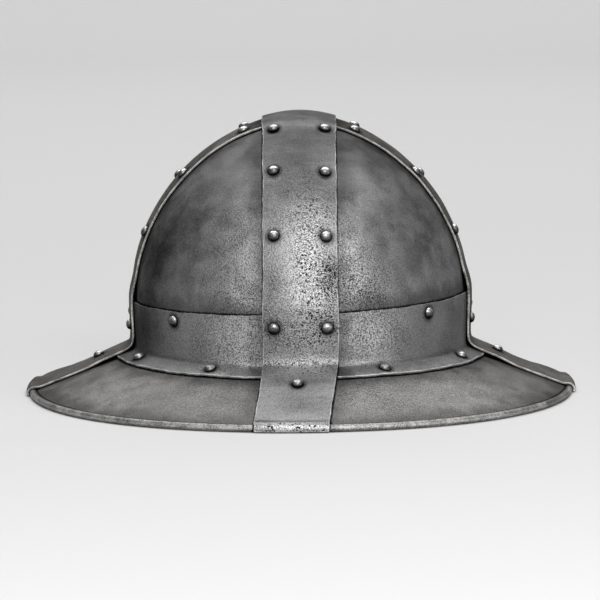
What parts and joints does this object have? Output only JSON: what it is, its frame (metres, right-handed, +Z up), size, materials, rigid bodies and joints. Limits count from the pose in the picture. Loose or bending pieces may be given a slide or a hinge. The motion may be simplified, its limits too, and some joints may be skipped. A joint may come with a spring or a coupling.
{
  "type": "kettle hat",
  "caption": "Riveted steel kettle hat: round skull of plates under crossed straps, brow band with a lip, and a wide sloping brim with a rolled edge.",
  "frame": {"origin": "on the ground under the middle of the crown, level with the flat underside of the rolled edge", "axes": "+X to the wearer's left, which is the right of the picture; +Y to the back; +Z up. The front faces -Y."},
  "size_m": [0.3704, 0.3989, 0.1893],
  "materials": {
    "skull_steel": "blackened, pitted and worn, satin",
    "band_steel": "blackened, pitted and worn, satin",
    "brim_steel": "blackened, pitted and worn, satin",
    "strap_steel": "blackened, burnished along the middle and bright at the edges",
    "rivet_steel": "polished domes, dark at their lower rims"
  },
  "bodies": {
    "root": {"skull_plate_front_right": "skull_steel", "skull_plate_front_left": "skull_steel", "skull_plate_back_right": "skull_steel", "skull_plate_back_left": "skull_steel", "brow_band_front_right": "band_steel", "brow_band_front_left": "band_steel", "brow_band_back_right": "band_steel", "brow_band_back_left": "band_steel", "brim": "brim_steel", "long_strap": "strap_steel", "cross_strap": "strap_steel", "rivet_front_1_left": "rivet_steel", "rivet_front_1_right": "rivet_steel", "rivet_front_2_left": "rivet_steel", "rivet_front_2_right": "rivet_steel", "rivet_front_3_left": "rivet_steel", "rivet_front_3_right": "rivet_steel", "rivet_front_4_left": "rivet_steel", "rivet_front_4_right": "rivet_steel", "rivet_front_brim": "rivet_steel", "rivet_back_1_left": "rivet_steel", "rivet_back_1_right": "rivet_steel", "rivet_back_2_left": "rivet_steel", "rivet_back_2_right": "rivet_steel", "rivet_back_3_left": "rivet_steel", "rivet_back_3_right": "rivet_steel", "rivet_back_4_left": "rivet_steel", "rivet_back_4_right": "rivet_steel", "rivet_back_brim": "rivet_steel", "rivet_left_1_front": "rivet_steel", "rivet_left_1_back": "rivet_steel", "rivet_left_2_front": "rivet_steel", "rivet_left_2_back": "rivet_steel", "rivet_left_3_front": "rivet_steel", "rivet_left_3_back": "rivet_steel", "rivet_left_4_front": "rivet_steel", "rivet_left_4_back": "rivet_steel", "rivet_left_brim": "rivet_steel", "rivet_right_1_front": "rivet_steel", "rivet_right_1_back": "rivet_steel", "rivet_right_2_front": "rivet_steel", "rivet_right_2_back": "rivet_steel", "rivet_right_3_front": "rivet_steel", "rivet_right_3_back": "rivet_steel", "rivet_right_4_front": "rivet_steel", "rivet_right_4_back": "rivet_steel", "rivet_right_brim": "rivet_steel", "rivet_band_front_right_top": "rivet_steel", "rivet_band_front_right_lip_1": "rivet_steel", "rivet_band_front_right_lip_2": "rivet_steel", "rivet_band_back_right_top": "rivet_steel", "rivet_band_back_right_lip_1": "rivet_steel", "rivet_band_back_right_lip_2": "rivet_steel", "rivet_band_back_left_top": "rivet_steel", "rivet_band_back_left_lip_1": "rivet_steel", "rivet_band_back_left_lip_2": "rivet_steel", "rivet_band_front_left_top": "rivet_steel", "rivet_band_front_left_lip_1": "rivet_steel", "rivet_band_front_left_lip_2": "rivet_steel"}
  },
  "joints": []
}
